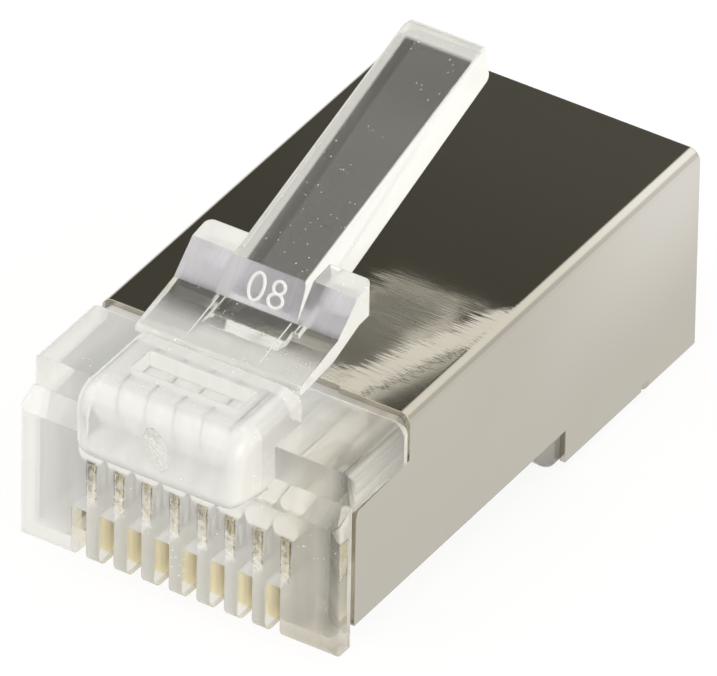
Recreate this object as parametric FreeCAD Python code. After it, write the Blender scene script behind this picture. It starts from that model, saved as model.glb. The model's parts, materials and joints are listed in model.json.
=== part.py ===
import FreeCAD, Part
import math
import os

# Shielded 8-position modular plug, unterminated: a clear housing with its latch on top,
# eight contact blades standing proud of the underside, and a folded sheet shield.
# Millimetres. X is across the plug, +Y runs from the nose to the cable entry, +Z is up.
# Everything is drawn from two datums, the comb face (y = 0) and the nose underside (z = 0),
# and moved at the end so that the origin is the middle of the plug's base.

V = FreeCAD.Vector

# ---- driving dimensions ----------------------------------------------------------------

# whole plug
PLUG_LENGTH = 21.40          # comb face to the rear end of the shield
REAR_DEPTH = 1.13            # the rear block reaches this far below the nose underside

# nose
NOSE_WIDTH = 11.68
NOSE_HEIGHT = 6.55
BROW_SETBACK = 0.88          # the upper front face stands behind the comb face
COMB_FACE_HEIGHT = 4.92      # top of the comb face, where the ledge starts
LEDGE_RISE = 0.42            # climb of the ledge from the comb face to the brow
CHEEK_LENGTH = 4.05          # full-width blocks at the top of the nose, up to the shield
CHEEK_FLOOR = 5.10           # underside of those blocks, above the shield's forward wing
LIP_LENGTH = 0.90            # full-width lip at the bottom of the nose
CORNER_RADIUS = 0.27         # upright corners of the comb face
BROW_CORNER = 0.17           # upright corners of the brow
BROW_EDGE = 0.35             # long top edges of the cheeks
CHIN_RADIUS = 0.45           # front bottom edge

# comb and contacts
PITCH = 1.02
CONTACTS = 8
SLOT_WIDTH = 0.54
SLOT_HEIGHT = 2.00           # open part of a slot, at the comb face
BLADE_THICKNESS = 0.30
BLADE_LENGTH = 3.20
BLADE_SETBACK = 0.80         # comb face to the blade's front edge
BLADE_DROP = 0.22            # blade's lower edge below the nose underside
BLADE_BODY = 2.30            # blade height up to the roots of its prongs
BLADE_STEP = 0.72            # its upper front corner is cut back by this length
BLADE_STEP_DEPTH = 0.20
PRONG_LENGTH = 1.05
PRONGS = 3
BLADE_NOSE_RADIUS = 0.55
WINDOW_WALL = 1.42           # wall left in front of a slot's closed upper part
SLOT_END_GAP = 0.30          # slot length left behind the blade
PRONG_GAP = 0.20             # slot height left above the prongs

# wire channels and cable cavity
WIRE_BORE = 0.92
WIRE_BORE_FRONT = 1.40
WIRE_BORE_LENGTH = 8.30
CAVITY_WIDTH = 8.50
CAVITY_ROOF = 0.66           # wall above the cable cavity
CAVITY_FLOOR = 0.62          # wall below it
CAVITY_CORNER = 1.20
FUNNEL_LENGTH = 2.20

# body under the shield
NOSE_BODY_FLOOR = 0.45       # underside of the recessed nose body
RAMP_START = 11.94
RAMP_LENGTH = 1.90

# strain-relief bar in the rear block's floor
BAR_WINDOW_START = 14.60
BAR_WINDOW_LENGTH = 3.10
BAR_WINDOW_WIDTH = 6.40
BAR_WEB = 0.60
BAR_WEB_THICKNESS = 0.22
BAR_LENGTH = 1.90
BAR_HEIGHT = 1.10
BAR_SIDE_GAP = 0.25
BAR_TAPER = 0.35

# shield
SHEET = 0.20
SHIELD_WIDTH = 11.34
SHIELD_TOP = 6.61            # outer face of the top, above the nose underside
BEND_RADIUS = 0.40           # outer radius of every fold
SHIELD_FRONT = 4.47          # front edge of the top
NOTCH_WIDTH = 6.10           # shallow notch in that edge, behind the boss
NOTCH_DEPTH = 0.09
WING_FRONT = 1.42            # front edge of the side wings
WING_TOP = 4.90              # upper edge of the forward wings, at the top's front edge
WING_SLOPE = 0.12            # the wing's upper edge falls by this much to its front
WING_CORNER = 0.35
SKIRT_LOW = 0.42             # lower edge of the sides along the nose
SKIRT_STEP = 13.70           # where the sides drop to cover the rear block
SKIRT_DEEP = -0.83
FLAP_LENGTH = 2.75           # flaps folded under the rear end
FLAP_WIDTH = 1.60
FLAP_RELIEF = 0.45           # relief cut between a flap and the straight lower edge

# latch boss on the nose
BOSS_WIDTH = 6.08
BOSS_FRONT = 1.38            # the boss stands this far in front of the comb face
BOSS_UNDERSIDE = 5.20
BOSS_TOP = 7.80
BOSS_CROWN = 0.95            # rounding of the boss over its front top edge
BOSS_CHIN = 0.66             # rounding under its front
BOSS_REAR = 2.38
BOSS_EDGE = 0.62
POCKET_WIDTH = 3.95
POCKET_START = 0.42
POCKET_LENGTH = 1.08
POCKET_DEPTH = 0.60

# latch lever
HINGE_Y = 2.44
HINGE_Z = 7.77
HINGE_RADIUS = 0.19
HINGE_CLEARANCE = 0.02
LEVER_WIDTH = 6.05
PLATE_RISE = 0.46            # climb of the plate from the hinge to the step
STEP_Y = 4.45                # foot of the step
STEP_HEIGHT = 0.95
SHOULDER_RUN = 1.05          # the step's length on the shoulders
FACE_RUN = 0.75              # and on the steeper face between them, at the end of the arm
SHOULDER_REAR = 6.40
SHOULDER_SLOPE = 0.14
SHOULDER_THICKNESS = 1.20
PLATE_THICKNESS = 0.68
UNDERCUT = 0.75              # length of the level underside at the plate's rear
RIB_DEPTH = 0.20
RIB_START = 0.75             # hinge axis to the front end of the rib
ARM_TOP_WIDTH = 2.74
ARM_DRAFT = 0.14             # each side widens downwards by this much per millimetre
ARM_END = 15.62
ARM_SLOPE = 0.2926
ARM_STEP = 0.16              # the arm's top stands above the shoulder at the step
ARM_ROOT_THICKNESS = 1.66
ARM_TIP_THICKNESS = 1.02
ARM_TIP_CORNER = 0.55
ARM_TIP_NOSE = 0.40
ARM_EDGE = 0.20              # long top edges of the arm
ARM_FLARE = 0.24             # the tip is this much wider than the root
SHOULDER_CORNER = 0.28       # upright rear corners of the plate


# ---- derived places --------------------------------------------------------------------

HALF_NOSE = NOSE_WIDTH / 2
CORE_WIDTH = SHIELD_WIDTH - 2 * SHEET
CORE_TOP = SHIELD_TOP - SHEET
CORE_FLOOR = -REAR_DEPTH + SHEET
CORE_CORNER = BEND_RADIUS - SHEET + 0.05
CORE_REAR = PLUG_LENGTH - 0.15
LEDGE_TOP = COMB_FACE_HEIGHT + LEDGE_RISE
COMB_HALF = (CONTACTS / 2 - 0.5) * PITCH + SLOT_WIDTH / 2
SLOT_END = BLADE_SETBACK + BLADE_LENGTH + SLOT_END_GAP
PRONG_TIP = -BLADE_DROP + BLADE_BODY + PRONG_LENGTH
SLOT_ROOF = PRONG_TIP + PRONG_GAP
WIRE_HEIGHT = SLOT_ROOF - 0.06 + WIRE_BORE / 2
CHANNEL_END = WIRE_BORE_FRONT + WIRE_BORE_LENGTH
CAVITY_TOP = CORE_TOP - CAVITY_ROOF
CAVITY_BOTTOM = CORE_FLOOR + CAVITY_FLOOR
RAMP_END = RAMP_START + RAMP_LENGTH
FLAP_START = PLUG_LENGTH - FLAP_LENGTH
STEP_TOP_Z = HINGE_Z + HINGE_RADIUS + PLATE_RISE + STEP_HEIGHT
FACE_TOP_Y = STEP_Y + FACE_RUN
STEP_FOOT_Z = HINGE_Z + HINGE_RADIUS + PLATE_RISE
ARM_ROOT_Z = STEP_TOP_Z + ARM_STEP
PLUG_BASE = -REAR_DEPTH
PLACE = V(0, (BOSS_FRONT - PLUG_LENGTH) / 2, -PLUG_BASE)


# ---- helpers ---------------------------------------------------------------------------

def outline(start, *steps):
    """Closed wire in the YZ plane: a step is a point, or a (through, end) pair for an arc."""
    edges = []
    here = V(0, *start)
    for step in steps + (start,):
        if isinstance(step[0], tuple):
            through, end = V(0, *step[0]), V(0, *step[1])
            edges.append(Part.Arc(here, through, end).toShape())
        else:
            end = V(0, *step)
            if here.distanceToPoint(end) > 1e-6:
                edges.append(Part.LineSegment(here, end).toShape())
        here = end
    return Part.Wire(edges)


def slab(wire, width, centre=0.0):
    """Extrude a YZ outline across X, centred on x = centre."""
    solid = Part.Face(wire).extrude(V(width, 0, 0))
    solid.translate(V(centre - width / 2, 0, 0))
    return solid


def block(x0, x1, y0, y1, z0, z1):
    return Part.makeBox(x1 - x0, y1 - y0, z1 - z0, V(x0, y0, z0))


def rounded_bar(width, y0, y1, z0, z1, radius):
    """Block along Y whose four long edges are rounded."""
    bar = block(-width / 2, width / 2, y0, y1, z0, z1)
    long_edges = [e for e in bar.Edges if abs(e.tangentAt(e.FirstParameter).y) > 0.99]
    return bar.makeFillet(radius, long_edges)


def upright_prism(y0, y1, radius):
    """Tall prism as wide as the nose, with its two front corners rounded in plan."""
    half = HALF_NOSE
    bevel = radius * (1 - math.sqrt(0.5))
    corners = [V(-half, y1, 0), V(half, y1, 0), V(half, y0 + radius, 0), V(half - radius, y0, 0),
               V(-half + radius, y0, 0), V(-half, y0 + radius, 0)]
    edges = [Part.makeLine(corners[0], corners[1]), Part.makeLine(corners[1], corners[2]),
             Part.Arc(corners[2], V(half - bevel, y0 + bevel, 0), corners[3]).toShape(),
             Part.makeLine(corners[3], corners[4]),
             Part.Arc(corners[4], V(-half + bevel, y0 + bevel, 0), corners[5]).toShape(),
             Part.makeLine(corners[5], corners[0])]
    prism = Part.Face(Part.Wire(edges)).extrude(V(0, 0, NOSE_HEIGHT + 2))
    prism.translate(V(0, 0, -1))
    return prism


def edges_where(shape, test):
    """Edges whose both ends and middle all pass the test."""
    chosen = []
    for edge in shape.Edges:
        middle = edge.valueAt((edge.FirstParameter + edge.LastParameter) / 2)
        points = [v.Point for v in edge.Vertexes] + [middle]
        if all(test(p) for p in points):
            chosen.append(edge)
    return chosen


def arc_point(centre, radius, degrees):
    angle = math.radians(degrees)
    return (centre[0] + radius * math.cos(angle), centre[1] + radius * math.sin(angle))


def fuse_all(first, others):
    return first.multiFuse(others).removeSplitter()


def contact_x(index):
    return (index - (CONTACTS - 1) / 2) * PITCH


# ---- housing ---------------------------------------------------------------------------

def nose_block():
    """Full-width nose: comb face, ledge, brow, and the step that the shield's wings fill."""
    chin = arc_point((CHIN_RADIUS, CHIN_RADIUS), CHIN_RADIUS, 225)
    lip = slab(outline(
        (LIP_LENGTH, 0), (LIP_LENGTH, LEDGE_TOP), (BROW_SETBACK, LEDGE_TOP), (0, COMB_FACE_HEIGHT),
        (0, CHIN_RADIUS), (chin, (CHIN_RADIUS, 0))), NOSE_WIDTH)
    lip = lip.common(upright_prism(0, LIP_LENGTH, CORNER_RADIUS))
    brow = block(-HALF_NOSE, HALF_NOSE, BROW_SETBACK, CHEEK_LENGTH, CHEEK_FLOOR, NOSE_HEIGHT)
    brow = brow.common(upright_prism(BROW_SETBACK, CHEEK_LENGTH, BROW_CORNER))
    brow = brow.common(rounded_bar(NOSE_WIDTH, 0, CHEEK_LENGTH + 1, 0, NOSE_HEIGHT, BROW_EDGE))
    return lip.fuse(brow)


def core():
    """Narrower body that the shield wraps, with the ramp down to the rear block."""
    start = LIP_LENGTH / 2
    ramp_mid = (RAMP_START + 0.40 * RAMP_LENGTH, NOSE_BODY_FLOOR + 0.66 * (CORE_FLOOR - NOSE_BODY_FLOOR))
    lower = slab(outline(
        (start, NOSE_BODY_FLOOR), (RAMP_START, NOSE_BODY_FLOOR), (ramp_mid, (RAMP_END, CORE_FLOOR)),
        (CORE_REAR, CORE_FLOOR), (CORE_REAR, CORE_TOP), (CHEEK_LENGTH - LIP_LENGTH, CORE_TOP),
        (CHEEK_LENGTH - LIP_LENGTH, CHEEK_FLOOR), (start, CHEEK_FLOOR)), CORE_WIDTH)
    half = CORE_WIDTH / 2

    def long_edge(p):
        on_top = abs(p.z - CORE_TOP) < 1e-4
        on_floor = abs(p.z - CORE_FLOOR) < 1e-4
        return abs(abs(p.x) - half) < 1e-4 and (on_top or on_floor)

    return lower.makeFillet(CORE_CORNER, edges_where(lower, long_edge))


def fins():
    """Seven fins between the contact slots, level with the lip's underside."""
    width = PITCH - SLOT_WIDTH
    end = SLOT_END + NOSE_BODY_FLOOR
    chin = arc_point((CHIN_RADIUS, CHIN_RADIUS), CHIN_RADIUS, 225)
    side = outline(
        (0, CHIN_RADIUS), (chin, (CHIN_RADIUS, 0)), (SLOT_END, 0), (end, NOSE_BODY_FLOOR),
        (end, SLOT_HEIGHT), (0, SLOT_HEIGHT))
    return [slab(side, width, contact_x(i) + PITCH / 2) for i in range(CONTACTS - 1)]


def contact_slots():
    """Wide open slots at the comb face, and the blade-width slots that grip above them."""
    cuts = []
    for i in range(CONTACTS):
        x = contact_x(i)
        wide, grip = SLOT_WIDTH / 2, BLADE_THICKNESS / 2
        cuts.append(block(x - wide, x + wide, -1, SLOT_END, -1, SLOT_HEIGHT))
        cuts.append(block(x - grip, x + grip, WINDOW_WALL, SLOT_END, SLOT_HEIGHT - 0.1, SLOT_ROOF))
    return cuts


def wire_channels():
    along = V(0, 1, 0)
    return [Part.makeCylinder(WIRE_BORE / 2, WIRE_BORE_LENGTH + 0.5,
                              V(contact_x(i), WIRE_BORE_FRONT, WIRE_HEIGHT), along)
            for i in range(CONTACTS)]


def cable_cavity():
    """Cable entry that narrows through a funnel to the row of wire channels."""
    narrow_low = WIRE_HEIGHT - WIRE_BORE / 2
    narrow_high = WIRE_HEIGHT + WIRE_BORE / 2
    out = PLUG_LENGTH + 1
    nose_floor = NOSE_BODY_FLOOR + CAVITY_FLOOR
    side = outline(
        (out, CAVITY_BOTTOM), (RAMP_END, CAVITY_BOTTOM), (RAMP_START, nose_floor + 0.35),
        (CHANNEL_END, narrow_low), (CHANNEL_END, narrow_high),
        (CHANNEL_END + FUNNEL_LENGTH, CAVITY_TOP), (out, CAVITY_TOP))
    bar = rounded_bar(CAVITY_WIDTH, 0, out, CAVITY_BOTTOM, CAVITY_TOP, CAVITY_CORNER)
    return slab(side, CAVITY_WIDTH).common(bar)


def strain_relief_cuts():
    """Window in the rear block's floor, around the bar that is pressed in on the cable."""
    half = BAR_WINDOW_WIDTH / 2
    end = BAR_WINDOW_START + BAR_WINDOW_LENGTH
    return block(-half, half, BAR_WINDOW_START, end, CORE_FLOOR - 1, CAVITY_BOTTOM + 0.2)


def strain_relief_bar():
    """Wedge-shaped bar on a thin web along the window's front edge."""
    bar_start = BAR_WINDOW_START + BAR_WEB
    low = CORE_FLOOR + BAR_WEB_THICKNESS / 2
    top = low + BAR_HEIGHT
    side = outline(
        (bar_start, low), (bar_start + BAR_LENGTH - BAR_TAPER, low), (bar_start + BAR_LENGTH, top),
        (bar_start + BAR_TAPER, top), (bar_start, low + BAR_WEB_THICKNESS),
        (BAR_WINDOW_START - 0.1, low + BAR_WEB_THICKNESS), (BAR_WINDOW_START - 0.1, low))
    return slab(side, BAR_WINDOW_WIDTH - 2 * BAR_SIDE_GAP)


def latch_boss():
    """Solid root of the latch, bulging in front of the comb face and rounded over the top."""
    front, half = -BOSS_FRONT, BOSS_WIDTH / 2
    hidden = COMB_FACE_HEIGHT - 0.6
    boss = slab(outline(
        (CHIN_RADIUS, hidden), (CHIN_RADIUS, BOSS_UNDERSIDE - 0.45), (front, BOSS_UNDERSIDE), (front, BOSS_TOP),
        (BOSS_REAR, BOSS_TOP), (BOSS_REAR, hidden)), BOSS_WIDTH)
    boss = boss.makeFillet(BOSS_CROWN, edges_where(boss, lambda p: p.y < front + 1e-4 and p.z > BOSS_TOP - 1e-4))
    boss = boss.makeFillet(BOSS_CHIN, edges_where(boss, lambda p: p.y < front + 1e-4 and p.z < BOSS_UNDERSIDE + 1e-4))

    def rim(p):
        return abs(abs(p.x) - half) < 1e-4 and p.y < BOSS_REAR - 1e-4 and p.z > BOSS_UNDERSIDE - BOSS_CHIN

    boss = boss.makeFillet(BOSS_EDGE, edges_where(boss, rim))
    return boss


def latch_pocket():
    half = POCKET_WIDTH / 2
    return block(-half, half, POCKET_START, POCKET_START + POCKET_LENGTH,
                 BOSS_TOP - POCKET_DEPTH, BOSS_TOP + 1)


def hinge_notch():
    """Rounded groove along the top rear edge of the boss, where the lever's root turns."""
    radius = HINGE_RADIUS + HINGE_CLEARANCE
    width = NOSE_WIDTH
    groove = Part.makeCylinder(radius, width, V(-width / 2, HINGE_Y, HINGE_Z), V(1, 0, 0))
    above = block(-width / 2, width / 2, HINGE_Y - radius, HINGE_Y + 2, HINGE_Z, HINGE_Z + 2)
    return groove.fuse(above)


def housing():
    solid = fuse_all(nose_block(), [core()] + fins())
    solid = solid.cut(contact_slots() + wire_channels() + [cable_cavity(), strain_relief_cuts()])
    solid = fuse_all(solid, [latch_boss(), strain_relief_bar()])
    return solid.cut([latch_pocket(), hinge_notch()])


# ---- contacts --------------------------------------------------------------------------

def contact(index):
    """Flat blade: rounded lower front corner, straight lower edge, piercing prongs on top."""
    y0, y1 = BLADE_SETBACK, BLADE_SETBACK + BLADE_LENGTH
    low = -BLADE_DROP
    root = low + BLADE_BODY
    r = BLADE_NOSE_RADIUS
    front = y0 + BLADE_STEP
    spacing = (y1 - front) / PRONGS
    steps = [(y1, low), (y1, root)]
    for k in reversed(range(PRONGS)):
        middle = front + (k + 0.5) * spacing
        steps.append((middle + 0.30 * spacing, root))
        steps.append((middle, PRONG_TIP))
        steps.append((middle - 0.30 * spacing, root))
    steps += [(front, root), (front, root - BLADE_STEP_DEPTH), (y0, root - BLADE_STEP_DEPTH), (y0, low + r), (arc_point((y0 + r, low + r), r, 225), (y0 + r, low))]
    return slab(outline(*[steps[0]] + steps[1:]), BLADE_THICKNESS, contact_x(index))


# ---- shield ----------------------------------------------------------------------------

def folded_section(low, flap):
    """Outline of the folded sheet seen along Y: top, two sides, and optional lower flaps."""
    def ring(inset):
        radius = BEND_RADIUS - inset
        half = SHIELD_WIDTH / 2 - inset
        height = SHIELD_TOP - inset - (low + (inset if flap else 0))
        bottom = low + (inset if flap else 0)
        bar = Part.makeBox(2 * half, PLUG_LENGTH, height, V(-half, 0, bottom))

        def fold(p):
            on_top = abs(p.z - (bottom + height)) < 1e-4
            on_bottom = flap and abs(p.z - bottom) < 1e-4
            return abs(abs(p.x) - half) < 1e-4 and (on_top or on_bottom)
        return bar.makeFillet(radius, edges_where(bar, fold))

    inner = ring(SHEET)
    if not flap:
        half = SHIELD_WIDTH / 2 - SHEET
        inner = inner.fuse(block(-half, half, 0, PLUG_LENGTH, low - 1, low + 1))
    return ring(0).cut(inner)


def shield():
    """One folded sheet: stepped front edge, skirts to two depths, flaps under the rear end."""
    wing_low = WING_TOP - WING_SLOPE
    side = outline(
        (PLUG_LENGTH, SHIELD_TOP + 1), (SHIELD_FRONT, SHIELD_TOP + 1), (SHIELD_FRONT, WING_TOP),
        (WING_FRONT + WING_CORNER, wing_low),
        (arc_point((WING_FRONT + WING_CORNER, wing_low - WING_CORNER), WING_CORNER, 135),
         (WING_FRONT, wing_low - WING_CORNER)),
        (WING_FRONT, SKIRT_LOW), (SKIRT_STEP, SKIRT_LOW), (SKIRT_STEP, SKIRT_DEEP),
        (PLUG_LENGTH, SKIRT_DEEP))
    sheet = folded_section(PLUG_BASE, False).common(slab(side, SHIELD_WIDTH + 2))
    gap_half = SHIELD_WIDTH / 2 - FLAP_WIDTH
    flap_cut = block(-SHIELD_WIDTH, SHIELD_WIDTH, -1, FLAP_START, PLUG_BASE - 1, SHIELD_TOP + 1)
    tongue_cut = block(-gap_half, gap_half, -1, PLUG_LENGTH + 1, PLUG_BASE - 1, 0)
    rear = folded_section(PLUG_BASE, True).cut([flap_cut, tongue_cut])
    relief = block(-SHIELD_WIDTH, SHIELD_WIDTH, FLAP_START - FLAP_RELIEF, FLAP_START,
                   PLUG_BASE - 1, SKIRT_DEEP + FLAP_RELIEF / 2)
    notch = block(-NOTCH_WIDTH / 2, NOTCH_WIDTH / 2, SHIELD_FRONT - 1, SHIELD_FRONT + NOTCH_DEPTH,
                  SHIELD_TOP - 2 * SHEET, SHIELD_TOP + 1)
    return fuse_all(sheet.cut([relief, notch]), [rear])


# ---- latch lever -----------------------------------------------------------------------

def lever_plate():
    """Hinged plate: thin at the root, a step, and the shoulders that lock in a jack."""
    root = (HINGE_Y, HINGE_Z)
    r = HINGE_RADIUS
    rear_top = (SHOULDER_REAR, STEP_TOP_Z + SHOULDER_SLOPE)
    rear_low = (SHOULDER_REAR, rear_top[1] - SHOULDER_THICKNESS)
    side = outline(
        arc_point(root, r, 90), (STEP_Y, STEP_FOOT_Z), (STEP_Y + SHOULDER_RUN, STEP_TOP_Z), rear_top, rear_low,
        (SHOULDER_REAR - UNDERCUT, rear_low[1] - 0.03), (STEP_Y - 0.3, STEP_FOOT_Z - PLATE_THICKNESS),
        arc_point(root, r, 270), (arc_point(root, r, 180), arc_point(root, r, 90)))
    plate = slab(side, LEVER_WIDTH)
    half = LEVER_WIDTH / 2

    def rear_corner(p):
        return abs(abs(p.x) - half) < 1e-4 and p.y > SHOULDER_REAR - 1e-4

    return plate.makeFillet(SHOULDER_CORNER, edges_where(plate, rear_corner))


def arm_section(y, top, thickness, flare):
    """Corners of the arm's section, which widens downwards by the moulding draft."""
    a = (ARM_TOP_WIDTH + flare) / 2
    b = a + ARM_DRAFT * thickness
    low = top - thickness
    return [V(-a, y, top), V(a, y, top), V(b, y, low), V(-b, y, low)]


def frustum(near, far):
    """Flat-sided solid between two four-cornered sections, each listed clockwise seen along +Y."""
    faces = [near[::-1], far] + [[near[i], near[(i + 1) % 4], far[(i + 1) % 4], far[i]] for i in range(4)]
    return Part.Solid(Part.Shell([Part.Face(Part.makePolygon(f + f[:1])) for f in faces]))


def lever_arm():
    """Tapered arm that rises to the rear, from the steep face at the step to its rounded tip."""
    def top(y):
        return ARM_ROOT_Z + ARM_SLOPE * (y - FACE_TOP_Y)

    def thickness(y):
        along = (y - FACE_TOP_Y) / (ARM_END - FACE_TOP_Y)
        return ARM_ROOT_THICKNESS + (ARM_TIP_THICKNESS - ARM_ROOT_THICKNESS) * along

    tip_top = top(ARM_END)
    arm = frustum(arm_section(STEP_Y, top(STEP_Y), thickness(STEP_Y), 0),
                  arm_section(ARM_END, tip_top, ARM_TIP_THICKNESS, ARM_FLARE))

    def tip_corner(p):
        return p.y > ARM_END - 1e-4 and abs(p.x) > ARM_TOP_WIDTH / 2

    arm = arm.makeFillet(ARM_TIP_CORNER, [e for e in edges_where(arm, tip_corner) if e.BoundBox.ZLength > 0.5])

    def top_rim(p):
        return abs(p.z - top(p.y)) < 1e-3 and (abs(p.x) > ARM_TOP_WIDTH / 2 - 1e-3 or p.y > STEP_Y + 1e-3)

    arm = arm.makeFillet(ARM_EDGE, edges_where(arm, top_rim))
    nose = ARM_TIP_NOSE
    lean = math.atan(ARM_SLOPE)
    centre = (ARM_END - nose, tip_top - ARM_SLOPE * nose - nose / math.cos(lean))
    above = arc_point(centre, nose, 90 + math.degrees(lean))
    profile = slab(outline(
        (0, 0), (ARM_END, 0), (ARM_END, centre[1]), (arc_point(centre, nose, 45), above),
        (above[0] - 10 * nose, above[1] + nose), (0, above[1] + nose)), 2 * ARM_TOP_WIDTH)
    ahead = slab(outline(
        (STEP_Y, STEP_FOOT_Z), (FACE_TOP_Y, ARM_ROOT_Z), (FACE_TOP_Y, ARM_ROOT_Z + 1), (STEP_Y - 1, ARM_ROOT_Z + 1),
        (STEP_Y - 1, STEP_FOOT_Z)), 2 * ARM_TOP_WIDTH)
    return arm.common(profile).cut(ahead)


def lever_rib():
    """The arm's beam carried forward under the plate, thinning to nothing before the hinge."""
    low = STEP_FOOT_Z - PLATE_THICKNESS
    start = HINGE_Y + RIB_START
    side = outline(
        (start, HINGE_Z), (STEP_Y, low + PLATE_THICKNESS / 2), (SHOULDER_REAR - UNDERCUT, low + PLATE_THICKNESS),
        (SHOULDER_REAR - UNDERCUT, low), (STEP_Y - 0.3, low - RIB_DEPTH))
    return slab(side, ARM_TOP_WIDTH)


def latch_lever():
    return fuse_all(lever_plate(), [lever_arm(), lever_rib()])


# ---- export ----------------------------------------------------------------------------

def export(name, shape):
    shape = shape.copy()
    shape.translate(PLACE)
    if shape.ShapeType != "Solid":
        solids = shape.Solids
        if len(solids) != 1:
            raise ValueError(f"{name} came out as {len(solids)} solids")
        shape = solids[0]
    shape.exportStep(f"parts/{name}.step")


os.makedirs("parts", exist_ok=True)
export("housing", housing())
export("shield", shield())
export("latch_lever", latch_lever())
for number in range(CONTACTS):
    export(f"contact_{number + 1}", contact(number))
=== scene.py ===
"""Finishes, moulding marks and stage for a shielded eight-contact modular plug."""
import json

import bmesh
import bpy
import numpy as np
from bpy.props import FloatProperty, FloatVectorProperty, PointerProperty, StringProperty
from mathutils import Matrix, Vector


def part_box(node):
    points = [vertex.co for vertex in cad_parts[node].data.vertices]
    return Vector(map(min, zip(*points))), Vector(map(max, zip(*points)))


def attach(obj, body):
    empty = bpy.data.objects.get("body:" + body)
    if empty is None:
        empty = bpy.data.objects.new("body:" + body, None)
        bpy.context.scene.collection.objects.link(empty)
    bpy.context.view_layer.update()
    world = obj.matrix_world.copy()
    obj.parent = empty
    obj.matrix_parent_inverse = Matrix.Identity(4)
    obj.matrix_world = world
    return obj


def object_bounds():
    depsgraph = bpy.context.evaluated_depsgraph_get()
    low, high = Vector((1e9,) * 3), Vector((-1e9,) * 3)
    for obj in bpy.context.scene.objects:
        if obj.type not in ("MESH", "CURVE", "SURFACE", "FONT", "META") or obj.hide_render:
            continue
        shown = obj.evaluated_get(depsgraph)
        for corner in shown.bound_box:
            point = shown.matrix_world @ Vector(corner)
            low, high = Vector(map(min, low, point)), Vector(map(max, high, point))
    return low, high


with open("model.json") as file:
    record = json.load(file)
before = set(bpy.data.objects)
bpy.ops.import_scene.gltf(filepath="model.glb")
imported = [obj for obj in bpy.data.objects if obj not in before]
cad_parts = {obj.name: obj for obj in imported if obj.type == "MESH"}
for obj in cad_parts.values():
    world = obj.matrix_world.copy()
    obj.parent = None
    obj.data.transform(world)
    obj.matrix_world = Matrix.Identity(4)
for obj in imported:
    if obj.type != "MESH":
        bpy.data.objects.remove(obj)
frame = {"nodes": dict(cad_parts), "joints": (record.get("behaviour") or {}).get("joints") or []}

bl_info = {
    "name": "Modular plug finishes",
    "version": (1, 0, 0),
    "blender": (4, 5, 0),
    "location": "View3D > Sidebar > Plug",
    "description": "Finishes, moulding marks and stage for a shielded modular plug",
    "category": "Object",
}

MM = 0.001
POLYCARBONATE_IOR = 1.585
BEAD_SIDES = 12
LAMP_DISTANCE = 0.42
HINGE = Vector(next(joint for joint in frame["joints"] if joint["name"] == "latch_press")["pos_m"])
CAD_LOW, CAD_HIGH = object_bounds()
SHIELD_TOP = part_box("shield")[1][2]
HOUSING_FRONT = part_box("housing")[0][1]


def linear(hex_colour):
    """sRGB hex to linear: value / 12.92 when dark, otherwise ((value + 0.055) / 1.055) to the power 2.4."""
    values = [int(hex_colour[i:i + 2], 16) / 255 for i in (1, 3, 5)]
    return tuple(v / 12.92 if v <= 0.04045 else ((v + 0.055) / 1.055) ** 2.4 for v in values)


def add(tree, kind, inputs=(), links=(), **settings):
    """Adds one node: its attributes are settings, its socket values inputs, and links name what feeds a socket."""
    made = tree.nodes.new(kind)
    for key, value in settings.items():
        setattr(made, key, value)
    for key, value in dict(inputs).items():
        made.inputs[key].default_value = value
    for key, source in dict(links).items():
        tree.links.new(source, made.inputs[key])
    return made


def new_material(name):
    """An empty node material and its node tree."""
    material = bpy.data.materials.new(name)
    material.use_nodes = True
    material.node_tree.nodes.clear()
    return material, material.node_tree


# ---------------------------------------------------------------- settings


class ClearPlasticSettings(bpy.types.PropertyGroup):
    """Polycarbonate of the housing and the latch."""

    colour: FloatVectorProperty(
        name="Colour", description="Tint of the clear polycarbonate", subtype="COLOR", size=3, min=0, max=1,
        default=linear("#ecece9"))
    haze: FloatProperty(
        name="Haze", description="Share of the light that the housing's thick walls scatter", subtype="FACTOR",
        min=0, max=1, default=0.46)
    inside_haze: FloatProperty(
        name="Inside haze", description="Share of light that the housing's inner faces scatter as white",
        subtype="FACTOR", min=0, max=1, default=0.86)
    lever_haze: FloatProperty(
        name="Lever haze", description="Share of the light that the thin lever scatters", subtype="FACTOR",
        min=0, max=1, default=0.015)
    side_haze: FloatProperty(
        name="Side haze", description="Share that the lever's and boss's unpolished sides scatter", subtype="FACTOR",
        min=0, max=1, default=0.80)
    polish: FloatProperty(
        name="Roughness", description="Roughness of the polished mould faces", subtype="FACTOR", min=0, max=1,
        default=0.045)
    edge_radius: FloatProperty(
        name="Edge radius", description="Rounding of the moulded edges", unit="LENGTH", min=0, default=0.07 * MM)


class NickelSheetSettings(bpy.types.PropertyGroup):
    """Nickel-plated sheet of the shield."""

    colour: FloatVectorProperty(
        name="Colour", description="Plating colour", subtype="COLOR", size=3, min=0, max=1,
        default=linear("#beb9ad"))
    roughness: FloatProperty(
        name="Roughness", description="Roughness of the plating", subtype="FACTOR", min=0, max=1, default=0.13)
    lean: FloatProperty(
        name="Dent lean", description="How far the shallow dent beside the latch leans, as a slope", min=0, max=1,
        default=0.24)


class GoldContactSettings(bpy.types.PropertyGroup):
    """Gold flash on the contact blades."""

    colour: FloatVectorProperty(
        name="Colour", description="Colour of the thin gold over nickel", subtype="COLOR", size=3, min=0, max=1,
        default=linear("#fdeba2"))


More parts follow.
